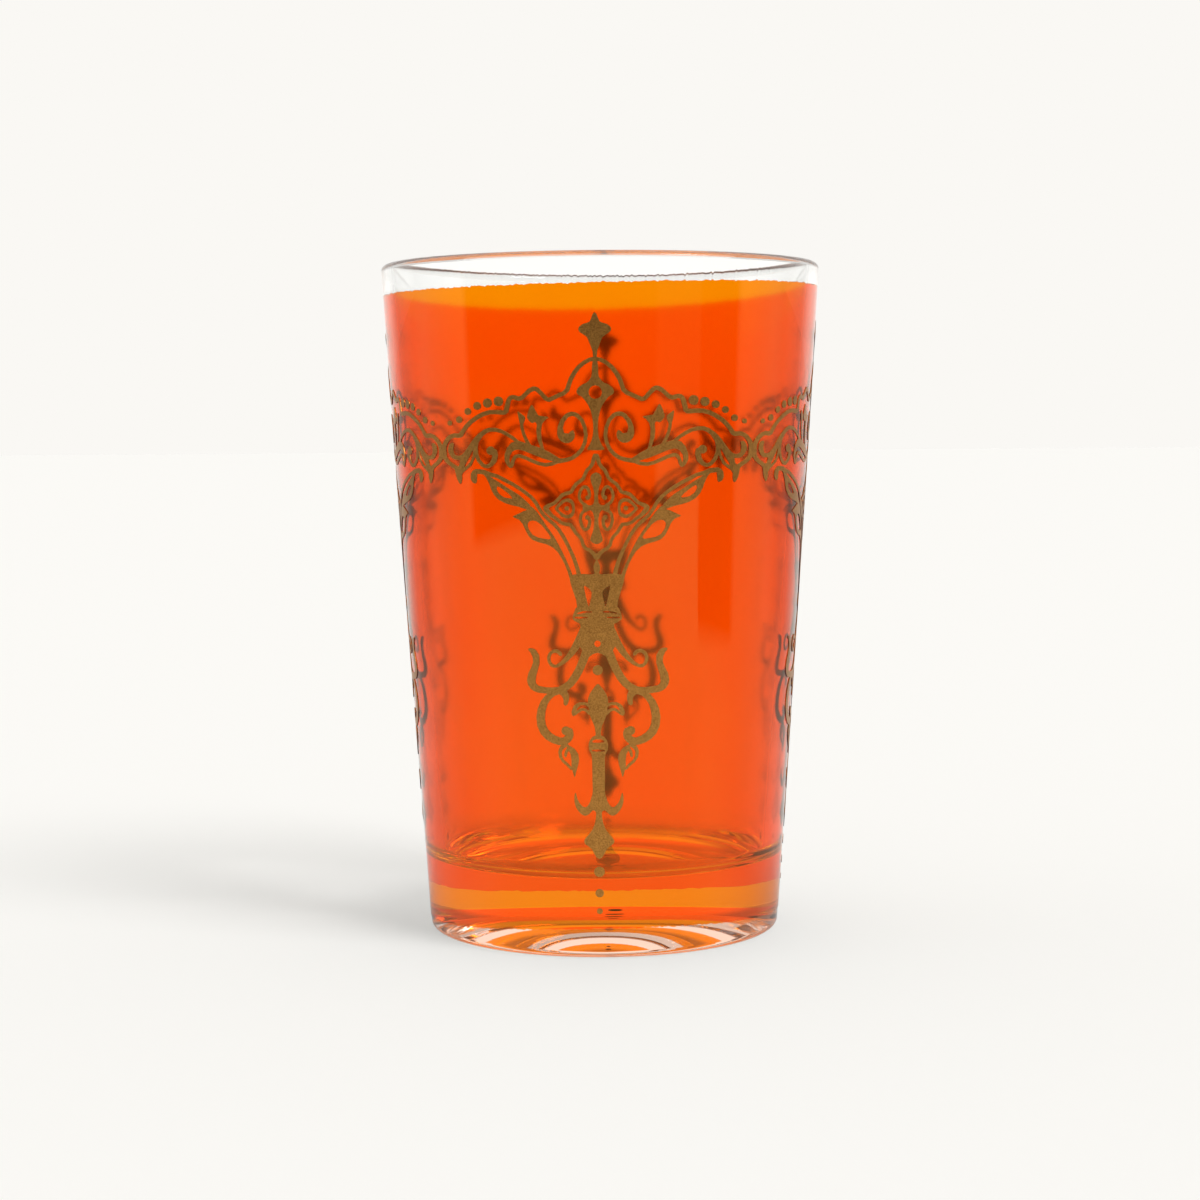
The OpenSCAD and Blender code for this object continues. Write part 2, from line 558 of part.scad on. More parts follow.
upper_petal_shares = [
    [0.055, 0.3545, 0.7], [0.085, 0.3575, 0.65], [0.115, 0.357, 0.75], [0.141, 0.3515, 1],
    [0.155, 0.3435, 0.9], [0.154, 0.338, 0.6]];
lower_petal_shares = [
    [0.05, 0.3405, 0.8], [0.078, 0.3465, 0.65], [0.106, 0.3475, 0.65], [0.13, 0.3435, 0.7],
    [0.148, 0.339, 0.6]];
ring_groove_shares = [[0, 0.2945, 0.75], [0.018, 0.2945, 0.75], [0.034, 0.2935, 0.45]];
ring_line_shares = [[0, 0.2785, 0.5], [0.02, 0.2785, 0.5], [0.04, 0.2785, 0.35]];
guard_shares = [
    [0.02, 0.206], [0.042, 0.2045], [0.054, 0.193], [0.071, 0.1855], [0.09, 0.1825],
    [0.109, 0.1845], [0.127, 0.19], [0.14, 0.197], [0.147, 0.205], [0.153, 0.2065],
    [0.159, 0.1995], [0.159, 0.1915], [0.152, 0.184], [0.138, 0.1775], [0.118, 0.1715],
    [0.093, 0.168], [0.066, 0.1705], [0.042, 0.177], [0.02, 0.18]];

module pendant_patches() {
    even_patch(collar_shares);
    even_patch(bud_shares);
    hole([0, 0.4135], dot_r);
    both() {
        brush(tentacle_shares);
        brush(horn_shares);
        brush(c_scroll_shares);
        knob(c_knob_share);
        patch(near_leaf_shares);
        brush(far_leaf_shares);
        brush(leaf_rib_shares);
        brush(upper_petal_shares);
        brush(lower_petal_shares);
        patch(guard_shares);
    }
}

module pendant_art() {
    difference() {
        pendant_patches();
        both() {
            brush(upper_groove_shares);
            brush(lower_groove_shares);
            brush(ring_groove_shares);
            brush(ring_line_shares);
        }
        hole([0, 0.4575], body_hole_r);
    }
}

// Drops under the lower finial, each with its share of the largest drop's radius

drop_shares = [[0, 0.0725, 1], [0, 0.036, 0.8], [0, 0.005, 0.56]];

module drop_art() {
    for (d = drop_shares)
        dot(d, drop_r * d[2]);
}

module gold_frieze() { printed() frieze_art(); }
module gold_beads() { laid() bead_art(); }
module gold_crests() { printed() crest_art(); }
module gold_scrolls() { printed() scroll_art(); }
module gold_medallions() { printed() medallion_art(); }
module gold_arms() { printed() arm_art(); }
module gold_pendants() { printed() pendant_art(); }
module gold_drops() { laid() drop_art(); }

glass_body();
orange_coat();
gold_frieze();
gold_beads();
gold_crests();
gold_scrolls();
gold_medallions();
gold_arms();
gold_pendants();
gold_drops();
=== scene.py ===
"""Looks of the tea glass: clear pressed glass, an orange lustre coat and a gold arabesque print.

The glass stands on z = 0 with its axis on z, and the middle of one motif faces -y.
"""

import math

import bmesh
import bpy
import numpy as np
from mathutils import Matrix, Vector, geometry


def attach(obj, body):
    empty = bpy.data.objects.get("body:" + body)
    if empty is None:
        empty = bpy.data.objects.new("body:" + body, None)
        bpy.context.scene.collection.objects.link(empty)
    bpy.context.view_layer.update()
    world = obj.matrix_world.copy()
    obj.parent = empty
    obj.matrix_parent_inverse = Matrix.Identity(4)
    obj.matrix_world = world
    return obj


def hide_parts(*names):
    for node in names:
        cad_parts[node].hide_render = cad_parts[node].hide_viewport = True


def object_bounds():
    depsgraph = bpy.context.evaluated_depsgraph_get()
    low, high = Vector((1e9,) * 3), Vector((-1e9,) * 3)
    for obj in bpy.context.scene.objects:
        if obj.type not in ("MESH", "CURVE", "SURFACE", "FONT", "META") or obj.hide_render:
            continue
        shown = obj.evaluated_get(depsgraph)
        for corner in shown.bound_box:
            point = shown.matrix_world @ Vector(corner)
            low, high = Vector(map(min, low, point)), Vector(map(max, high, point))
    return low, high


bl_info = {
    "name": "Moroccan tea glass",
    "version": (1, 0, 0),
    "blender": (4, 5, 0),
    "location": "View3D > Sidebar > Tea glass",
    "description": "Builds a lustre-coated tea glass with a gold print",
    "category": "Add Mesh",
}

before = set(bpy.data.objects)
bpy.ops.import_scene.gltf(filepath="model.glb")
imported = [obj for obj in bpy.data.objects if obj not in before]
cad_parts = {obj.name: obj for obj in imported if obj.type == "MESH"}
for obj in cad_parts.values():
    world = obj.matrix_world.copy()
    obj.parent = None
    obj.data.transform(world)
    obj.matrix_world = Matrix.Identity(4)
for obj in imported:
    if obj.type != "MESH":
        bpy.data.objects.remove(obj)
CAD_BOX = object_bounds()

MM = 0.001
PRINT_NODES = (
    "gold_frieze",
    "gold_beads",
    "gold_crests",
    "gold_scrolls",
    "gold_medallions",
    "gold_arms",
    "gold_pendants",
    "gold_drops",
)


def linear(hex_code):
    """An sRGB hex colour as linear red, green and blue."""
    parts = [int(hex_code[i : i + 2], 16) / 255 for i in (1, 3, 5)]
    return tuple(c / 12.92 if c <= 0.04045 else ((c + 0.055) / 1.055) ** 2.4 for c in parts)


def size(name, description, millimetres):
    return bpy.props.FloatProperty(
        name=name, description=description, default=millimetres * MM, unit="LENGTH", precision=5
    )


def colour(name, description, hex_code):
    return bpy.props.FloatVectorProperty(
        name=name, description=description, default=linear(hex_code), subtype="COLOR", min=0, max=1
    )


class GlassSizes(bpy.types.PropertyGroup):
    """Sizes of the pressed glass and of the layers on it"""

    rim_r: size("Lip radius", "Outer radius of the lip", 30)
    foot_r: size("Foot radius", "Radius of the wall line where it meets the table", 24.1)
    height: size("Height", "Height of the glass", CAD_BOX[1][2] / MM)
    lip_wall: size("Lip wall", "Wall thickness under the lip", 1.5)
    floor_wall: size("Floor wall", "Wall thickness at the inside floor", 2.6)
    base_t: size("Base", "Height of the inside floor over the table", 10.2)
    floor_round: size("Floor corner", "Radius between the inside floor and the wall", 2.4)
    lip_round: size("Lip rounding", "Radius of the outer edge of the lip", 0.9)
    heel_round: size("Heel", "Radius of the heel", 1.0)
    ring_w: size("Foot ring", "Width of the flat ring that carries the glass", 1.4)
    slope_w: size("Foot slope", "Width of the slope inside the ring", 1.2)
    slope_h: size("Slope depth", "Depth of the slope beside the ring", 0.3)
    pushup_h: size("Push-up", "Depth of the push-up above the slope", 3.5)
    swell_h: size("Swell", "Extra height half way out on the push-up", 0.3)
    coat_low: size("Coat gap", "Distance of the coat's inner side from the wall", 0.02)
    coat_high: size("Coat face", "Distance of the coat's face from the wall", 0.08)
    coat_from: size("Coat bottom", "Mean height of the coat's lower edge", 3.1)
    coat_to: size("Coat top", "Mean height of the coat's upper edge", 87.175)
    fringe: size("Fringe", "Height of each of the small waves of the coat's ragged edges", 0.03)
    ink_t: size("Ink", "Thickness of the gold ink", 0.1)
    repeats: bpy.props.IntProperty(name="Motifs", description="Motifs round the glass", default=4, min=1)
    segments: bpy.props.IntProperty(
        name="Segments", description="Facets round the glass", default=720, min=24
    )


class GlassColours(bpy.types.PropertyGroup):
    """Colours of the finishes and of the studio"""

    glass: colour("Glass", "What two faces of the clear glass let through", "#FDFEFE")
    glass_gloss: colour("Glass gloss", "Tint of what the clear glass mirrors", "#CBCBCB")
    lustre: colour("Lustre", "What two faces of the fired lustre let through", "#FF4700")
    lustre_thin: colour("Lustre, thin", "The same where it is sprayed thinner", "#FF4F00")
    lustre_gloss: colour("Lustre gloss", "Tint of what the lustre mirrors", "#FFF989")
    mist: colour("Lustre mist", "What two faces of the misted heel let through", "#FFD8C4")
    gold: colour("Gold ink", "Bright flakes of the gold ink", "#C68C42")
    gold_deep: colour("Gold ink, worn", "Darker grain of the gold ink", "#8D5D25")
    # painted shade: the dark colour given to the ink's underside, seen through the glass
    gold_painted_shade: colour("Gold ink, underside", "The ink seen through the glass", "#501E0E")
    floor: colour("Floor", "Pale paper floor", "#FBFAF7")
    # painted light: the orange that stands for light come through the lustre, painted on the paper under
    # the foot
    floor_painted_light: colour("Floor under the glass", "Paper in light that came through lustre", "#FFA04A")
    # painted reflection: the paper takes this dark colour only for the rays that the gloss of the glass
    # mirrors
    floor_painted_dark: colour("Unlit floor", "Paper that the gloss of the glass mirrors as dark", "#272727")
    sweep: colour("Sweep", "The pale background behind the glass", "#FAF8F4")


# Shapes

# Shares of the coat's height at which wall and coat have rings, close together at both edges
WALL_SHARES = (0, 0.02, 0.1, 0.25, 0.5, 0.75, 0.9, 0.98, 1)

# How far the coat's edges wander, with the cosine and the sine of the angle and the cosine of its
# double, and the numbers of waves round the glass that make their fringe ragged
LOW_WANDER = (0, 0.47 * MM, 0.94 * MM)
HIGH_WANDER = (0.5 * MM, 0.5 * MM, -0.325 * MM)
FRINGE_WAVES = (23, 67, 97, 139, 181, 233, 283, 331)

# Rings in the dome of the push-up, and shares of the way at which slope, bore and floor have theirs
DOME_STEPS = 32
SLOPE_SHARES = (0.15, 0.35, 0.55, 0.75, 0.9, 1.0)
BORE_SHARES = (0.04, 0.2, 0.4, 0.6, 0.8, 0.96)
FLOOR_SHARES = (0.97, 0.85, 0.7, 0.5, 0.3, 0.15)

# An edge of a turned piece that bends by more degrees than this stays sharp
SHARP_EDGE = 30

# A length under this counts as none
TINY = 1e-9


def wall_radius(sizes, z):
    """Outer radius of the wall at a height."""
    return sizes.foot_r + (sizes.rim_r - sizes.foot_r) * z / sizes.height


def arc(centre, radius, start, end, steps):
    """Points of an arc in a profile, angles in degrees."""
    turn = [math.radians(start + (end - start) * i / steps) for i in range(steps + 1)]
    return [(centre[0] + radius * math.cos(a), centre[1] + radius * math.sin(a)) for a in turn]


def coat_edges(sizes, turn):
    """Lower and upper edge of the coat at an angle. Both wander, because it is sprayed by hand."""
    waves = (math.cos(turn), math.sin(turn), math.cos(2 * turn))
    low = sizes.coat_from + sum(far * wave for far, wave in zip(LOW_WANDER, waves))
    high = sizes.coat_to + sum(far * wave for far, wave in zip(HIGH_WANDER, waves))
    fringe = [sizes.fringe * math.sin(n * turn + n * n) for n in FRINGE_WAVES]
    return low + sum(fringe), high + sum(fringe[::2]) - sum(fringe[1::2])


def wall_ring(sizes, share, lift):
    """Ring on the wall, or that far off it, at a share of the coat's height."""

    def ring(turn):
        low, high = coat_edges(sizes, turn)
        z = low + (high - low) * share
        return wall_radius(sizes, z) + lift, z

    return ring


def body_rings(sizes):
    """Rings of the pressed body, from the middle of the foot outwards and up, then down the bore.

    Also gives the first ring of the covered wall, the clear band, the lip, the bore and the floor.
    """
    lean = math.degrees(math.atan((sizes.rim_r - sizes.foot_r) / sizes.height))
    cosine = math.cos(math.radians(lean))
    heel_x = wall_radius(sizes, sizes.heel_round) - sizes.heel_round / cosine
    ring_in = heel_x - sizes.ring_w
    slope_in = ring_in - sizes.slope_w
    lip_x = sizes.rim_r - sizes.lip_round / cosine
    inner_round = sizes.lip_wall - sizes.lip_round
    low_bore = wall_radius(sizes, sizes.base_t) - sizes.floor_wall
    high_bore = sizes.rim_r - sizes.lip_wall
    floor_z = sizes.base_t + sizes.floor_round
    taper = (high_bore - low_bore) / (sizes.height - sizes.base_t)
    floor_x = low_bore + taper * sizes.floor_round - sizes.floor_round
    rings = []
    # the dome of the push-up, from the middle out
    for i in range(DOME_STEPS + 1):
        t = i / DOME_STEPS
        swell = sizes.swell_h / 2 * (1 - math.cos(2 * math.pi * t))
        rings.append((slope_in * t, sizes.slope_h + sizes.pushup_h * (1 - t * t) + swell))
    # a slope with soft corners leads to the flat ring that carries the glass
    for t in SLOPE_SHARES:
        ease = t * t * (3 - 2 * t)
        rings.append((slope_in + (ring_in - slope_in) * t, sizes.slope_h * (1 - ease)))
    rings += arc((heel_x, sizes.heel_round), sizes.heel_round, -90, -lean, steps=14)
    # the heel ends where the wall starts, and the wall has its rings where the coat has them
    covered = len(rings)
    rings += [wall_ring(sizes, share, 0) for share in WALL_SHARES]
    band = len(rings) - 1
    # the lip, round outside and tighter inside
    rings += arc((lip_x, sizes.height - sizes.lip_round), sizes.lip_round, -lean, 90, steps=14)
    rings += arc((lip_x, sizes.height - inner_round), inner_round, 90, 180, steps=10)[1:]
    # the bore, down to the round corner of the inside floor
    bore = len(rings)
    top_x, top_z = rings[-1]
    for t in BORE_SHARES:
        rings.append((top_x + (floor_x + sizes.floor_round - top_x) * t, top_z + (floor_z - top_z) * t))
    floor = len(rings) - 1
    rings += arc((floor_x, floor_z), sizes.floor_round, 0, -90, steps=16)
    for t in FLOOR_SHARES:
        rings.append((floor_x * t, sizes.base_t))
    rings.append((0, sizes.base_t))
    return rings, (covered, band, band + 1, bore, floor)


def revolve(name, rings, segments):
    """Closed surface from rings of (radius, height), or of functions that give them at an angle.

    A ring of radius 0 is a pole. Rings that have no pole close to a tube.
    """
    mesh = bmesh.new()
    turns = [2 * math.pi * k / segments for k in range(segments)]
    rows = []
    for ring in rings:
        points = [ring(turn) for turn in turns] if callable(ring) else [ring] * segments
        if points[0][0] < TINY:
            rows.append([mesh.verts.new((0, 0, points[0][1]))])
            continue
        places = [(r * math.sin(turn), -r * math.cos(turn), z) for turn, (r, z) in zip(turns, points)]
        rows.append([mesh.verts.new(place) for place in places])
    if len(rows[0]) > 1:
        rows.append(rows[0])
    for a, b in zip(rows, rows[1:]):
        for k in range(segments):
            n = (k + 1) % segments
            corners = [a[k % len(a)], a[n % len(a)], b[n % len(b)], b[k % len(b)]]
            # at a pole two corners are one
            face = mesh.faces.new(tuple(dict.fromkeys(corners)))
            face.smooth = True
    mesh.normal_update()
    for edge in mesh.edges:
        edge.smooth = edge.calc_face_angle(0) < math.radians(SHARP_EDGE)
    data = bpy.data.meshes.new(name)
    mesh.to_mesh(data)
    mesh.free()
    piece = bpy.data.objects.new(name, data)
    bpy.context.scene.collection.objects.link(piece)
    return piece


def paint(piece, finish, start, end, segments):
    """Gives a material to the faces between two rings of a turned piece."""
    piece.data.materials.append(finish)
    for face in piece.data.polygons[start * segments : end * segments]:
        face.material_index = len(piece.data.materials) - 1


# The print

# The CAD's print is read where its faces look straight out by more than this share. Points nearer than
# the gap are one, curves get short steps, and a turn of more degrees than the corner stays sharp
LOOKS_OUT = 0.8
POINT_GAP = 0.02 * MM
CURVE_STEP = 0.22 * MM
CORNER = 40

# A square net of points inside the ink, clear of its outlines, lets it bend round the glass
NET = 0.8 * MM
NET_CLEAR = 0.3 * NET

# Distances at which points are joined: of the CAD's loose triangles, of the ink's two sides and, in
# millimetres, of the flat triangulation. Its kind is triangles inside the outlines, without their holes
WELD = 1e-6
SIDES_WELD = 1e-7
FLAT_WELD = 1e-5
INSIDE_WITH_HOLES = 2


def outline_loops(piece, sizes):
    """Outlines of one motif of a print node, unrolled to (arc at the foot's radius, height)."""
    mesh = bmesh.new()
    mesh.from_mesh(piece.data)
    bmesh.ops.remove_doubles(mesh, verts=mesh.verts, dist=WELD)
    half = math.pi / sizes.repeats
    face_of = {}
    for face in mesh.faces:
        middle = face.calc_center_median()
        radial = Vector((middle.x, middle.y, 0)).normalized()
        if face.normal.dot(radial) > LOOKS_OUT and abs(math.atan2(middle.x, -middle.y)) < half:
            for edge in face.edges:
                face_of.setdefault(edge, []).append(face)
    # an edge with one outer face is on the outline, and that face gives its direction
    follow = {}
    for edge, faces in face_of.items():
        if len(faces) == 1:
            for corner in faces[0].loops:
                if corner.edge == edge:
                    follow.setdefault(corner.vert.index, []).append(corner.link_loop_next.vert.index)
    flat = {v.index: (math.atan2(v.co.x, -v.co.y) * sizes.foot_r, v.co.z) for v in mesh.verts}
    mesh.free()
    loops = []
    while follow:
        first = next(iter(follow))
        loop = [first]
        while True:
            ways = follow[loop[-1]]
            after = ways.pop()
            if not ways:
                del follow[loop[-1]]
            if after == first:
                break
            loop.append(after)
        loops.append(np.array([flat[i] for i in loop]))
    return loops


def without_repeats(points):
    """The loop without points that lie on one another."""
    kept = [points[0]]
    for p in points[1:]:
        if np.hypot(*(p - kept[-1])) > POINT_GAP:
            kept.append(p)
    if np.hypot(*(kept[-1] - kept[0])) <= POINT_GAP:
        kept.pop()
    return np.array(kept)


def spline(p0, p1, p2, p3, t):
    """Centripetal curve from p1 to p2."""
    k1 = max(np.hypot(*(p1 - p0)) ** 0.5, TINY)
    k2 = k1 + max(np.hypot(*(p2 - p1)) ** 0.5, TINY)
    k3 = k2 + max(np.hypot(*(p3 - p2)) ** 0.5, TINY)
    x = k1 + (k2 - k1) * t
    a1 = p0 + (p1 - p0) * x / k1
    a2 = p1 + (p2 - p1) * (x - k1) / (k2 - k1)
    a3 = p2 + (p3 - p2) * (x - k2) / (k3 - k2)
    b1 = a1 + (a2 - a1) * x / k2
    b2 = a2 + (a3 - a2) * (x - k1) / (k3 - k1)
    return b1 + (b2 - b1) * (x - k1) / (k2 - k1)


def softened(points):
    """The loop with its straight steps bent into curves. Real corners stay sharp."""
    n = len(points)
    after = np.roll(points, -1, 0) - points
    before = points - np.roll(points, 1, 0)
    cross = before[:, 0] * after[:, 1] - before[:, 1] * after[:, 0]
    turn = np.degrees(np.abs(np.arctan2(cross, (before * after).sum(1))))
    sharp = turn > CORNER
    out = []
    for i in range(n):
        p1, p2 = points[i], points[(i + 1) % n]
        p0 = 2 * p1 - p2 if sharp[i] else points[i - 1]
        p3 = 2 * p2 - p1 if sharp[(i + 1) % n] else points[(i + 2) % n]
        steps = max(int(round(np.hypot(*(p2 - p1)) / CURVE_STEP)), 1)
        out += [spline(p0, p1, p2, p3, k / steps) for k in range(steps)]
    return np.array(out)


def inside(points, loops):
    """Which points lie inside an odd number of loops."""
    odd = np.zeros(len(points), bool)
    for loop in loops:
        for (ax, ay), (bx, by) in zip(loop, np.roll(loop, -1, 0)):
            if ay == by:
                continue
            cuts = (ay > points[:, 1]) != (by > points[:, 1])
            at = ax + (points[:, 1] - ay) * (bx - ax) / (by - ay)
            odd ^= cuts & (points[:, 0] < at)
    return odd


def net_points(loops, corners):
    """Points of a square net inside the outlines and clear of them."""
    low, high = corners.min(0), corners.max(0)
    xs = np.arange(low[0] + NET / 2, high[0], NET)
    zs = np.arange(low[1] + NET / 2, high[1], NET)
    net = np.array(np.meshgrid(xs, zs)).reshape(2, -1).T
    net = net[inside(net, loops)]
    clear = [np.min(np.sum((corners - p) ** 2, 1)) > NET_CLEAR**2 for p in net]
    return net[np.array(clear, bool)]


def flat_print(name, loops):
    """Flat mesh of the ink inside the outlines, with a net of points so that it can bend."""
    corners = np.vstack(loops)
    edges = []
    start = 0
    for loop in loops:
        n = len(loop)
        edges += [(start + i, start + (i + 1) % n) for i in range(n)]
        start += n
    points = np.vstack([corners, net_points(loops, corners)])
    # the triangulation works in millimetres, where its rounding is small
    flat = [Vector(p / MM) for p in points]
    found = geometry.delaunay_2d_cdt(flat, edges, [], INSIDE_WITH_HOLES, FLAT_WELD)
    verts, _, faces = found[:3]
    data = bpy.data.meshes.new(name)
    data.from_pydata([(v.x * MM, 0, v.y * MM) for v in verts], [], faces)
    mesh = bmesh.new()
    mesh.from_mesh(data)
    middles = np.array([f.calc_center_median().xz for f in mesh.faces])
    bare = [f for f, inked in zip(mesh.faces[:], inside(middles, loops)) if not inked]
    bmesh.ops.delete(mesh, geom=bare, context="FACES")
    bmesh.ops.delete(mesh, geom=[v for v in mesh.verts if not v.link_faces], context="VERTS")
    for face in mesh.faces:
        if face.normal.y > 0:
            face.normal_flip()
    mesh.to_mesh(data)
    mesh.free()
    return data


# Nodes

# A ramp's inputs are a value, the start and the end of a stretch of it, and what the ramp gives at both
RAMP = "ShaderNodeMapRange"
SMOOTH = {"interpolation_type": "SMOOTHSTEP"}
MATHS = "ShaderNodeMath"
MIX = "ShaderNodeMix"
OF_COLOURS = {"data_type": "RGBA"}


def add(tree, kind, settings=None, *values, **named):
    """Adds a node. Its settings are a dict, or the name of its operation.

    An input is a value, or a socket to link from, and a node stands for its first output. Inputs are
    given in the order of the node's sockets, or by name, with two underscores for a space.
    """
    node = tree.nodes.new(kind)
    if isinstance(settings, str):
        settings = {"operation": settings}
    for key, value in (settings or {}).items():
        setattr(node, key, value)
    inputs = list(zip([socket for socket in node.inputs if socket.enabled], values))
    inputs += [(node.inputs[key.replace("__", " ")], value) for key, value in named.items()]
    for socket, value in inputs:
        if isinstance(value, bpy.types.Node):
            value = next(output for output in value.outputs if output.enabled)
        if isinstance(value, bpy.types.NodeSocket):
            tree.links.new(value, socket)
        elif socket.type == "RGBA":
            socket.default_value = (*value, 1)
        else:
            socket.default_value = value
    return node


def wrap_tree(ink):
    """Geometry Nodes: thickens a flat print, lays it on the tapered wall and repeats it round the glass."""
    tree = bpy.data.node_groups.new("Print on the wall", "GeometryNodeTree")
    ends = tree.interface
    ends.new_socket("Geometry", in_out="INPUT", socket_type="NodeSocketGeometry")
    for name in ("Foot radius", "Rim radius", "Height", "Lift", "Thickness"):
        ends.new_socket(name, in_out="INPUT", socket_type="NodeSocketFloat")
    ends.new_socket("Repeats", in_out="INPUT", socket_type="NodeSocketInt")
    ends.new_socket("Geometry", in_out="OUTPUT", socket_type="NodeSocketGeometry")
    given = add(tree, "NodeGroupInput").outputs

    # the print is thickened while it is flat: its top is pushed out, towards -y
    thick = add(
        tree,
        "GeometryNodeExtrudeMesh",
        {"mode": "FACES"},
        Mesh=given["Geometry"],
        Offset=add(tree, "ShaderNodeCombineXYZ", None, 0.0, -1.0, 0.0),
        Offset__Scale=given["Thickness"],
        Individual=False,
    )
    under = add(tree, "GeometryNodeFlipFaces", Mesh=given["Geometry"])
    shell = add(tree, "GeometryNodeJoinGeometry", Geometry=under)
    tree.links.new(thick.outputs["Mesh"], shell.inputs["Geometry"])
    whole = add(tree, "GeometryNodeMergeByDistance", Geometry=shell, Distance=SIDES_WELD)

    # each point goes to its own distance from the wall, at the turn that its arc gives
    place = add(tree, "ShaderNodeSeparateXYZ", None, add(tree, "GeometryNodeInputPosition")).outputs
    turn = add(tree, MATHS, "DIVIDE", place["X"], given["Foot radius"])
    wider = add(tree, MATHS, "SUBTRACT", given["Rim radius"], given["Foot radius"])
    taper = add(tree, MATHS, "DIVIDE", wider, given["Height"])
    wall = add(tree, MATHS, "MULTIPLY_ADD", taper, place["Z"], given["Foot radius"])
    off = add(tree, MATHS, "SUBTRACT", given["Lift"], place["Y"])
    radius = add(tree, MATHS, "ADD", wall, off)
    across = add(tree, MATHS, "MULTIPLY", radius, add(tree, MATHS, "SINE", turn))
    back = add(tree, MATHS, "MULTIPLY", radius, add(tree, MATHS, "COSINE", turn))
    depth = add(tree, MATHS, "MULTIPLY", back, -1.0)
    spot = add(tree, "ShaderNodeCombineXYZ", None, across, depth, place["Z"])
    laid = add(tree, "GeometryNodeSetPosition", Geometry=whole, Position=spot)

    # the motifs all start at one place, and each is turned by its own number
    starts = add(tree, "GeometryNodeMeshLine", Count=given["Repeats"], Offset=(0.0, 0.0, 0.0))
    step = add(tree, MATHS, "DIVIDE", 2 * math.pi, given["Repeats"])
    turned = add(tree, MATHS, "MULTIPLY", add(tree, "GeometryNodeInputIndex"), step)
    spin = add(tree, "ShaderNodeCombineXYZ", Z=turned)
    ring = add(tree, "GeometryNodeInstanceOnPoints", Points=starts, Instance=laid, Rotation=spin)
    real = add(tree, "GeometryNodeRealizeInstances", Geometry=ring)
    inked = add(tree, "GeometryNodeSetMaterial", Geometry=real, Material=ink)
    add(tree, "NodeGroupOutput", Geometry=inked)
    return tree


def plain_mesh(piece, name):
    """The piece with its modifiers applied, as a new object at the origin."""
    bpy.context.view_layer.update()
    seen = piece.evaluated_get(bpy.context.evaluated_depsgraph_get())
    data = bpy.data.meshes.new_from_object(seen)
    data.name = name
    bpy.data.objects.remove(piece)
    made = bpy.data.objects.new(name, data)
    bpy.context.scene.collection.objects.link(made)
    return made


# Finishes

# Cells of the noise patterns in a metre: mould waves are about 17 mm long and clouds in the lustre
# 22 mm, and the flakes in the ink are about 0.2 mm wide, in patches of 1.4 mm
MOULD_WAVES = 60.0
LUSTRE_CLOUDS = 45.0
INK_GRAIN = 5200.0
INK_PATCHES = 700.0

# What clear glass and the thick base let through of lamps and bounced light, how much of the lip
# shows, and how soft the plunger leaves the bore
SODA_LIME_IOR = 1.52
CLEAR_SHARE = 0.92
THICK_SHARE = 0.5
LIP_COVER = 0.6
BORE_ROUGH = 0.12

# The normal of the ink times its place: less than the first looks in and gets the painted shade of the
# underside, and more than the second out
UNDERSIDE = (-5 * MM, 0.0)


def material(name):
    """A new material with no nodes, and its node tree."""
    made = bpy.data.materials.new(name)
    made.use_nodes = True
    made.node_tree.nodes.clear()
    return made, made.node_tree


def pressed_glass(tree, tint, gloss, rough=0.0, waves=0.06, share=CLEAR_SHARE, cover=1.0):
    """Soda-lime glass, with the faint long waves that the mould leaves.

    Lamps and bounced light pass straight through, by the share given, so that the shadow on the
    paper is pale and soft. A cover under 1 makes it fainter, but not for what it mirrors inside.
    """
    where = add(tree, "ShaderNodeTexCoord").outputs["Object"]
    path = add(tree, "ShaderNodeLightPath").outputs
    wave = add(tree, "ShaderNodeTexNoise", Vector=where, Scale=MOULD_WAVES, Detail=1.0)
    finish = {
        "Base__Color": tint,
        "Roughness": rough,
        "IOR": SODA_LIME_IOR,
        "Specular__Tint": gloss,
        "Transmission__Weight": 1.0,
        "Normal": add(tree, "ShaderNodeBump", Height=wave, Strength=waves, Distance=0.4 * MM),
    }
    surface = add(tree, "ShaderNodeBsdfPrincipled", **finish)
    if cover < 1:
        faint = add(tree, "ShaderNodeBsdfPrincipled", Alpha=cover, **finish)
        surface = add(tree, "ShaderNodeMixShader", None, path["Is Glossy Ray"], faint, surface)
    clear = add(tree, "ShaderNodeBsdfTransparent", None, (share, share, share))
    bounced = add(tree, "ShaderNodeMixShader", None, path["Is Diffuse Ray"], surface, clear)
    lamps = add(tree, "ShaderNodeMixShader", None, path["Is Shadow Ray"], bounced, clear)
    add(tree, "ShaderNodeOutputMaterial", Surface=lamps)


def clear_glass(colours):
    # Pressed soda-lime glass, fire-polished outside: quite clear and smooth
    made, tree = material("Pressed soda-lime glass")
    pressed_glass(tree, colours.glass, colours.glass_gloss)
    return made


def lip_glass(colours):
    # The lip is melted round in the flame. It gathers the light of the whole sweep, so its lines are faint
    made, tree = material("Soda-lime glass, fire-polished lip")
    pressed_glass(tree, colours.glass, colours.glass_gloss, cover=LIP_COVER)
    return made


def bore_glass(colours):
    # The plunger presses the bore, and no flame polishes it, so what lies behind it is a little soft
    made, tree = material("Soda-lime glass, plunger side")
    pressed_glass(tree, colours.glass, colours.glass_gloss, rough=BORE_ROUGH)
    return made


def thick_floor(colours):
    # The thick base bends the lamp's light away, so the shadow is darkest at the foot
    made, tree = material("Soda-lime glass, thick base")
    pressed_glass(tree, colours.glass, colours.glass_gloss, share=THICK_SHARE)
    return made


def heel_glass(colours):
    # The clear heel and the underside catch a breath of the sprayed lustre, too thin to look orange
    made, tree = material("Soda-lime glass, lustre mist")
    pressed_glass(tree, colours.mist, colours.glass_gloss)
    return made


def covered_wall():
    # The fired film touches the wall under it everywhere, so no light is bent or mirrored between them
    made, tree = material("Glass under the lustre")
    clear = add(tree, "ShaderNodeBsdfTransparent")
    add(tree, "ShaderNodeOutputMaterial", Surface=clear)
    return made


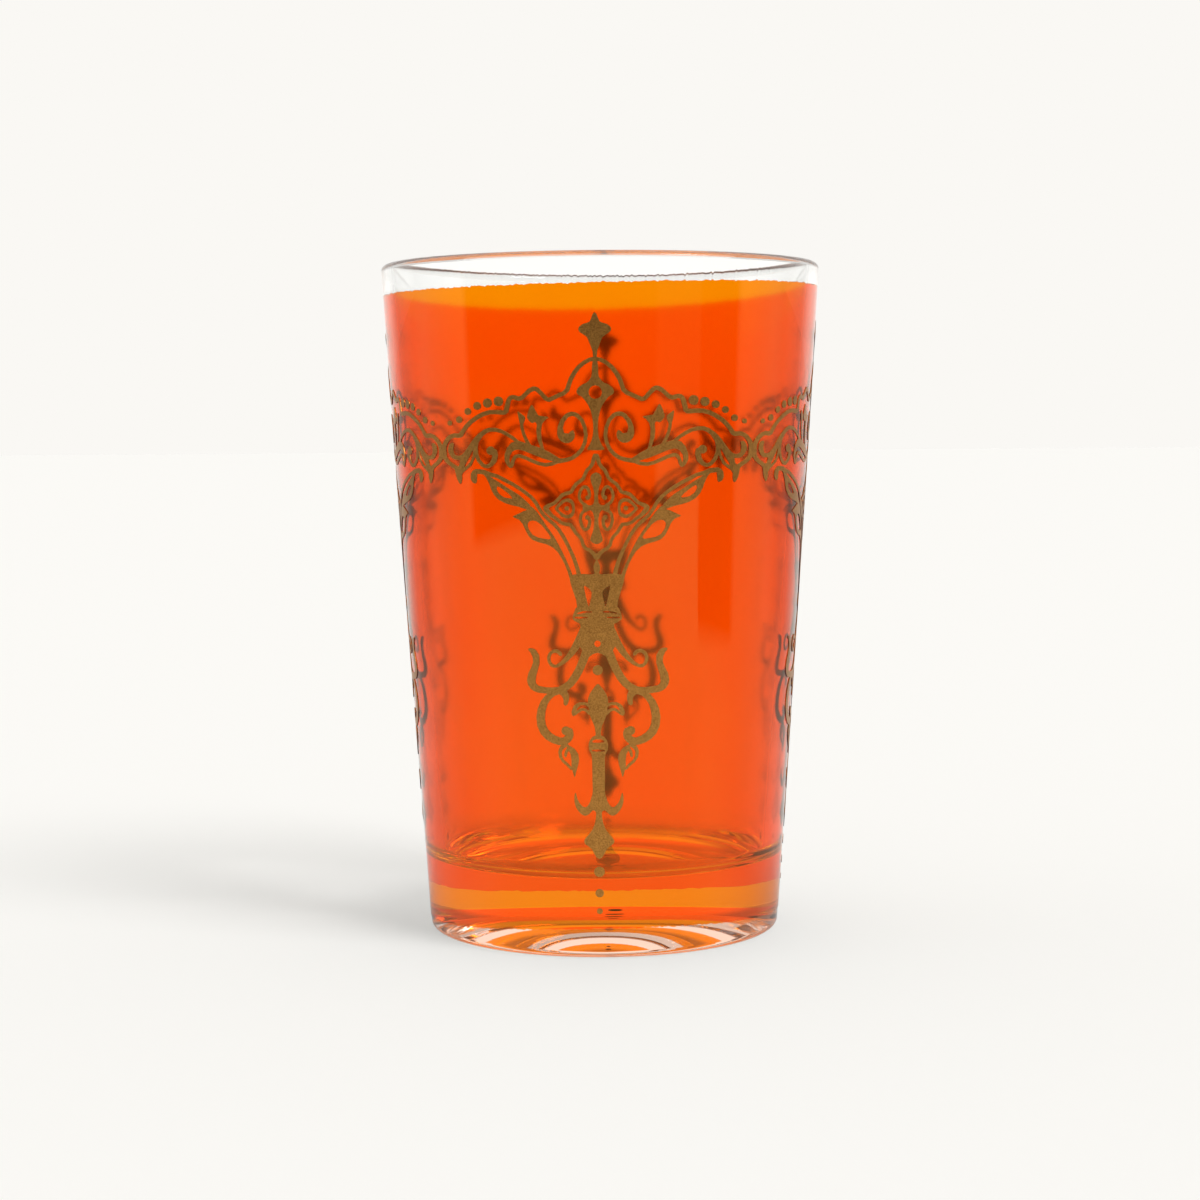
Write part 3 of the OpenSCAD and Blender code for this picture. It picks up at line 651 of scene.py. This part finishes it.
def lustre(colours):
    # Fired orange lustre, sprayed by hand: glossy and clear, denser in soft patches, with an orange gloss
    made, tree = material("Fired orange lustre")
    where = add(tree, "ShaderNodeTexCoord").outputs["Object"]
    clouds = add(tree, "ShaderNodeTexNoise", Vector=where, Scale=LUSTRE_CLOUDS, Detail=4.0, Roughness=0.6)
    dense = add(tree, RAMP, None, clouds, 0.3, 0.7)
    tint = add(tree, MIX, OF_COLOURS, dense, colours.lustre_thin, colours.lustre)
    pressed_glass(tree, tint, colours.lustre_gloss, waves=0.05)
    return made


def gold_ink(colours):
    # Screened gold preparation, fired: satin metal flakes in a brown base, so its shine is soft and grainy
    made, tree = material("Fired gold ink")
    where = add(tree, "ShaderNodeTexCoord").outputs["Object"]
    grain = add(tree, "ShaderNodeTexNoise", Vector=where, Scale=INK_GRAIN, Detail=3.0, Roughness=0.7)
    patches = add(tree, "ShaderNodeTexNoise", Vector=where, Scale=INK_PATCHES, Detail=2.0)
    both = add(tree, MATHS, "MULTIPLY_ADD", patches, 0.15, grain)
    flakes = add(tree, RAMP, None, both, 0.4, 0.75)
    face = add(tree, MIX, OF_COLOURS, flakes, colours.gold_deep, colours.gold)
    # the side that lies on the coat is painted dark and not metallic: painted shade, for the ink seen from
    # behind through the glass
    normal = add(tree, "ShaderNodeNewGeometry").outputs["Normal"]
    facing = add(tree, "ShaderNodeVectorMath", "DOT_PRODUCT", normal, where)
    outer = add(tree, RAMP, None, facing, *UNDERSIDE)
    ink = add(
        tree,
        "ShaderNodeBsdfPrincipled",
        Base__Color=add(tree, MIX, OF_COLOURS, outer, colours.gold_painted_shade, face),
        Metallic=add(tree, RAMP, None, facing, *UNDERSIDE, 0.0, 0.85),
        Roughness=add(tree, RAMP, None, grain, 0.3, 0.7, 0.3, 0.42),
        Normal=add(tree, "ShaderNodeBump", Height=grain, Strength=0.25, Distance=0.03 * MM),
    )
    add(tree, "ShaderNodeOutputMaterial", Surface=ink)
    return made


# Studio

# A painted reflection: for the rays that the gloss of the glass mirrors, the paper is painted dark.
# Bearings are in radians, to the right of the camera's side, and distances in metres from the axis. A pair
# is a soft edge, from its start to its end

# Bearings of a strip left pale in the painted dark, a painted reflection of the lamp, the distances at
# which it fades, and the share that is left
LAMP_STRIP = ((0.5, 0.56), (0.94, 0.97))
LAMP_FADE = (0.35, 0.75)
LAMP_FAR = 0.2

# Bearings in front where the paper is painted dark, how far out it stays unpainted there, left and right of
# the strip's end, and the edge of the painted dark
FRONT = ((-1.335, -1.235), (1.33, 1.43))
UNPAINTED_REACH = (0.36, 0.215)
UNPAINTED_EDGE = (0.0, 0.04)

# Bearings beside the glass, to the left or the right, and how dark the paper is painted there
NEAR_SIDES = ((1.05, 1.4), (2.0, 2.4))
NEAR_DIM = 0.35
FAR_SIDES = ((1.6, 2.0), (2.3, 2.6))
FAR_DIM = 0.6

# Distances between which the far sides get their full painted dark, and the share of it that they start
# from
FAR_FADE = (0.15, 0.35)
FAR_CLOSE = 0.45

# Fibres of the paper in a metre, and the soft edge of the orange light painted on the paper under the foot
PAPER_FIBRES = 900.0
FOOT_EDGE = 0.5 * MM

# The paper's half width in metres, and how far it lies under the glass, so that the two don't touch
FLOOR_HALF = 6.0
FLOOR_DROP = 0.03 * MM

# The room in front, by a ray's y, which is away from the camera: where it starts, where it is full and
# how bright it is. The second values are for what the glass mirrors or bends
ROOM_START = 0.1
ROOM_FULL = (-0.7, -0.12)
ROOM_TONE = (0.445, 0.1)

# Soft edges, by a ray's z, of the room overhead and, by its y, of the dimmer sides of the sweep, and
# how dim these get
OVERHEAD = (0.4, 0.9)
SWEEP_SIDES = ((0.0, 0.4), (0.67, 0.86))
SWEEP_DIM = 0.6

# How bright the sweep is for all but the camera
SWEEP_POWER = 1.12

# The way from the glass to the lamp, its distance in metres, its power in watts to the square metre,
# and how wide it looks in degrees
LAMP_WAY = (0.81, -0.59, 0.9)
LAMP_AWAY = 1.1
LAMP_POWER = 1.62
LAMP_SIZE = 24

# The photograph's camera, fitted to the outlines of lip, foot and coat. Angles are in degrees, and the
# sensor's width in millimetres
CAMERA_AWAY = 335.354 * MM
CAMERA_UP = 69.498 * MM
CAMERA_ASIDE = -0.311 * MM
CAMERA_DIP = 4.1492
CAMERA_ROLL = -0.4123
CAMERA_TURN = 1.43
FOCAL_PIXELS = 2418.5
PHOTO_PIXELS = 1200
SENSOR = 36


def between(tree, value, rise, fall, most=1.0, settings=None):
    """A share that rises to its most over one stretch of a value and falls to 0 over a later one."""
    up = add(tree, RAMP, settings, value, *rise, 0.0, most)
    down = add(tree, RAMP, settings, value, *fall, 1.0, 0.0)
    return add(tree, MATHS, "MULTIPLY", up, down)


def painted_dark_reflection(tree, where, reach):
    """How much the paper is painted dark at a place, for the rays that the gloss of the glass mirrors: a
    painted reflection.

    The painted dark starts in front, and closer at the right, where it stands for the lamp's dark stand.
    Between the two a strip is left pale, a painted reflection of the lamp. Beside the glass the paper is
    painted dimmer.
    """
    place = add(tree, "ShaderNodeSeparateXYZ", None, where).outputs
    near = add(tree, MATHS, "MULTIPLY", place["Y"], -1.0)
    bearing = add(tree, MATHS, "ARCTAN2", place["X"], near)
    side = add(tree, MATHS, "ABSOLUTE", bearing)

    # a strip left pale in the painted dark: a painted reflection of the lamp
    lamp = between(tree, bearing, *LAMP_STRIP)
    lamp = add(tree, MATHS, "MULTIPLY", lamp, add(tree, RAMP, None, reach, *LAMP_FADE, 1.0, LAMP_FAR))
    painted_lit = add(tree, RAMP, None, bearing, *LAMP_STRIP[1], *UNPAINTED_REACH)
    beyond = add(tree, RAMP, None, add(tree, MATHS, "SUBTRACT", reach, painted_lit), *UNPAINTED_EDGE)
    front = add(tree, MATHS, "MULTIPLY", beyond, between(tree, bearing, *FRONT))
    painted_dark_front = add(tree, MATHS, "MULTIPLY", front, add(tree, MATHS, "SUBTRACT", 1.0, lamp))

    far = between(tree, side, *FAR_SIDES, FAR_DIM)
    far = add(tree, MATHS, "MULTIPLY", far, add(tree, RAMP, None, reach, *FAR_FADE, FAR_CLOSE, 1.0))
    beside = add(tree, MATHS, "MAXIMUM", far, between(tree, side, *NEAR_SIDES, NEAR_DIM))
    path = add(tree, "ShaderNodeLightPath").outputs
    mirrored = add(tree, MATHS, "SUBTRACT", path["Is Glossy Ray"], path["Is Transmission Ray"])
    return add(tree, MATHS, "MULTIPLY", mirrored, add(tree, MATHS, "MAXIMUM", painted_dark_front, beside))


def paper_floor(sizes, colours):
    # Matt pale paper under soft light. Under the foot the paper is painted orange, as painted light for
    # what has come through the lustre
    made, tree = material("Pale paper floor")
    where = add(tree, "ShaderNodeTexCoord").outputs["Object"]
    reach = add(tree, "ShaderNodeVectorMath", "LENGTH", where)
    foot = sizes.foot_r - sizes.heel_round
    outside = add(tree, RAMP, None, reach, foot - FOOT_EDGE, foot)
    # painted light: the paper is orange under the foot and pale outside it
    painted_lit = add(tree, MIX, OF_COLOURS, outside, colours.floor_painted_light, colours.floor)
    # painted reflection: for mirrored rays the paper is painted dark round the glass
    gap = painted_dark_reflection(tree, where, reach)
    fibre = add(tree, "ShaderNodeTexNoise", Vector=where, Scale=PAPER_FIBRES, Detail=2.0)
    paper = add(
        tree,
        "ShaderNodeBsdfPrincipled",
        Base__Color=add(tree, MIX, OF_COLOURS, gap, painted_lit, colours.floor_painted_dark),
        Roughness=0.95,
        Specular__IOR__Level=0.0,
        Normal=add(tree, "ShaderNodeBump", Height=fibre, Strength=0.02, Distance=0.1 * MM),
    )
    add(tree, "ShaderNodeOutputMaterial", Surface=paper)
    return made


def paper_sweep(tree, colours):
    # A white sweep behind and beside the glass, and a dimmer room overhead and in front. The camera sees
    # the sweep all round. For what the glass mirrors or bends, the room in front is nearer and darker,
    # the sweep is dimmer at its sides, and nothing overhead is dim
    path = add(tree, "ShaderNodeLightPath").outputs
    seen = path["Is Camera Ray"]
    mirrored = add(tree, MATHS, "MAXIMUM", path["Is Glossy Ray"], path["Is Transmission Ray"])
    direct = add(tree, MATHS, "SUBTRACT", 1.0, mirrored)
    way = add(tree, "ShaderNodeTexCoord").outputs["Generated"]
    toward = add(tree, "ShaderNodeSeparateXYZ", None, way).outputs
    overhead = add(tree, RAMP, SMOOTH, toward["Z"], *OVERHEAD)
    overhead = add(tree, MATHS, "MULTIPLY", overhead, direct)
    full = add(tree, RAMP, None, mirrored, 0.0, 1.0, *ROOM_FULL)
    front = add(tree, RAMP, SMOOTH, toward["Y"], ROOM_START, full)
    sides = between(tree, toward["Y"], *SWEEP_SIDES, SWEEP_DIM, SMOOTH)
    sides = add(tree, MATHS, "MULTIPLY", sides, mirrored)
    room = add(tree, MATHS, "MAXIMUM", front, sides)
    dim = add(tree, MATHS, "MAXIMUM", overhead, room)
    unseen = add(tree, MATHS, "MULTIPLY", add(tree, MATHS, "SUBTRACT", 1.0, seen), dim)
    grey = add(tree, RAMP, None, mirrored, 0.0, 1.0, *ROOM_TONE)
    tone = add(tree, MIX, OF_COLOURS, unseen, colours.sweep, grey)
    # the sweep is a little brighter for the glass and the floor than for the camera, where it would clip
    power = add(tree, RAMP, None, seen, 0.0, 1.0, SWEEP_POWER, 1.0)
    glow = add(tree, "ShaderNodeBackground", Color=tone, Strength=power)
    add(tree, "ShaderNodeOutputWorld", Surface=glow)


# Operators


class TEAGLASS_OT_body(bpy.types.Operator):
    """Builds the pressed glass body"""

    bl_idname = "teaglass.body"
    bl_label = "Glass body"

    def execute(self, context):
        sizes = context.scene.tea_glass_sizes
        colours = context.scene.tea_glass_colours
        rings, (covered, band, lip, bore, floor) = body_rings(sizes)
        piece = revolve("Pressed_glass_body", rings, sizes.segments)
        paint(piece, clear_glass(colours), band, lip, sizes.segments)
        paint(piece, heel_glass(colours), 0, covered, sizes.segments)
        paint(piece, covered_wall(), covered, band, sizes.segments)
        paint(piece, lip_glass(colours), lip, bore, sizes.segments)
        paint(piece, bore_glass(colours), bore, floor, sizes.segments)
        paint(piece, thick_floor(colours), floor, len(rings) - 1, sizes.segments)
        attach(piece, "root")
        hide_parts("glass_body")
        return {"FINISHED"}


class TEAGLASS_OT_coat(bpy.types.Operator):
    """Builds the orange lustre coat on the outer wall"""

    bl_idname = "teaglass.coat"
    bl_label = "Lustre coat"

    def execute(self, context):
        sizes = context.scene.tea_glass_sizes
        face = [wall_ring(sizes, share, sizes.coat_high) for share in WALL_SHARES]
        back = [wall_ring(sizes, share, sizes.coat_low) for share in reversed(WALL_SHARES)]
        piece = revolve("Orange_lustre_coat", face + back, sizes.segments)
        last = len(face + back)
        paint(piece, lustre(context.scene.tea_glass_colours), 0, last, sizes.segments)
        paint(piece, covered_wall(), len(face), last - 1, sizes.segments)
        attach(piece, "root")
        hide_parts("orange_coat")
        return {"FINISHED"}


class TEAGLASS_OT_print(bpy.types.Operator):
    """Lays the gold print on the coat, node by node"""

    bl_idname = "teaglass.print"
    bl_label = "Gold print"

    def execute(self, context):
        sizes = context.scene.tea_glass_sizes
        tree = wrap_tree(gold_ink(context.scene.tea_glass_colours))
        sockets = {i.name: i.identifier for i in tree.interface.items_tree if i.in_out == "INPUT"}
        inputs = {
            "Foot radius": sizes.foot_r,
            "Rim radius": sizes.rim_r,
            "Height": sizes.height,
            "Lift": sizes.coat_high,
            "Thickness": sizes.ink_t,
            "Repeats": sizes.repeats,
        }
        for node in PRINT_NODES:
            loops = [without_repeats(loop) for loop in outline_loops(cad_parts[node], sizes)]
            loops = [softened(loop) for loop in loops if len(loop) > 2]
            if not loops:
                raise RuntimeError(f"{node} has no outline")
            flat = bpy.data.objects.new(node + "_flat", flat_print(node + "_flat", loops))
            context.scene.collection.objects.link(flat)
            wrap = flat.modifiers.new("Print on the wall", "NODES")
            wrap.node_group = tree
            for name, value in inputs.items():
                wrap[sockets[name]] = value
            piece = plain_mesh(flat, "Print_" + node)
            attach(piece, "root")
            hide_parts(node)
        return {"FINISHED"}


class TEAGLASS_OT_stage(bpy.types.Operator):
    """Builds the floor, the light and the camera"""

    bl_idname = "teaglass.stage"
    bl_label = "Studio"

    def execute(self, context):
        scene = context.scene
        self.floor(scene)
        self.light(scene)
        self.camera(scene)
        scene.view_settings.view_transform = "Standard"
        scene.view_settings.look = "None"
        # a ray that goes through the glass crosses wall, coat and ink many times
        scene.cycles.transparent_max_bounces = 48
        scene.cycles.max_bounces = 48
        scene.cycles.transmission_bounces = 48
        scene.cycles.glossy_bounces = 24
        return {"FINISHED"}

    def floor(self, scene):
        signs = ((-1, -1), (1, -1), (1, 1), (-1, 1))
        corners = [(FLOOR_HALF * x, FLOOR_HALF * y, -FLOOR_DROP) for x, y in signs]
        data = bpy.data.meshes.new("Paper_floor")
        data.from_pydata(corners, [], [(0, 1, 2, 3)])
        data.materials.append(paper_floor(scene.tea_glass_sizes, scene.tea_glass_colours))
        floor = bpy.data.objects.new("Paper_floor", data)
        scene.collection.objects.link(floor)

    def light(self, scene):
        scene.world = bpy.data.worlds.new("Studio")
        scene.world.use_nodes = True
        scene.world.node_tree.nodes.clear()
        paper_sweep(scene.world.node_tree, scene.tea_glass_colours)
        lamp = bpy.data.lights.new("Key light", "SUN")
        lamp.energy = LAMP_POWER
        lamp.angle = math.radians(LAMP_SIZE)
        key = bpy.data.objects.new("Key light", lamp)
        toward = Vector(LAMP_WAY).normalized()
        key.location = toward * LAMP_AWAY
        key.rotation_euler = toward.to_track_quat("Z", "Y").to_euler()
        scene.collection.objects.link(key)

    def camera(self, scene):
        """The photograph's camera: near, a little under the lip's height, looking slightly down."""
        data = bpy.data.cameras.new("Camera")
        data.sensor_width = SENSOR
        data.lens = FOCAL_PIXELS / PHOTO_PIXELS * SENSOR
        data.clip_start = 10 * MM
        camera = bpy.data.objects.new("Camera", data)
        around = Matrix.Rotation(math.radians(CAMERA_TURN), 4, "Z")
        place = Matrix.Translation((CAMERA_ASIDE, -CAMERA_AWAY, CAMERA_UP))
        tilt = Matrix.Rotation(math.radians(90 - CAMERA_DIP), 4, "X")
        roll = Matrix.Rotation(math.radians(CAMERA_ROLL), 4, "Z")
        camera.matrix_world = around @ place @ tilt @ roll
        scene.collection.objects.link(camera)
        scene.camera = camera


class TEAGLASS_PT_panel(bpy.types.Panel):
    """Sizes, colours and steps of the tea glass"""

    bl_idname = "TEAGLASS_PT_panel"
    bl_label = "Tea glass"
    bl_space_type = "VIEW_3D"
    bl_region_type = "UI"
    bl_category = "Tea glass"

    def draw(self, context):
        layout = self.layout
        for group in (context.scene.tea_glass_sizes, context.scene.tea_glass_colours):
            column = layout.column(align=True)
            for name in group.bl_rna.properties.keys():
                if name not in ("rna_type", "name"):
                    column.prop(group, name)
        for step in STEPS:
            layout.operator(step.bl_idname)


STEPS = (TEAGLASS_OT_body, TEAGLASS_OT_coat, TEAGLASS_OT_print, TEAGLASS_OT_stage)
CLASSES = (GlassSizes, GlassColours, *STEPS, TEAGLASS_PT_panel)


def register():
    for cls in CLASSES:
        bpy.utils.register_class(cls)
    bpy.types.Scene.tea_glass_sizes = bpy.props.PointerProperty(type=GlassSizes)
    bpy.types.Scene.tea_glass_colours = bpy.props.PointerProperty(type=GlassColours)


def unregister():
    del bpy.types.Scene.tea_glass_colours
    del bpy.types.Scene.tea_glass_sizes
    for cls in reversed(CLASSES):
        bpy.utils.unregister_class(cls)


def main():
    register()
    bpy.ops.teaglass.stage()
    bpy.ops.teaglass.body()
    bpy.ops.teaglass.coat()
    bpy.ops.teaglass.print()


if __name__ == "__main__":
    main()
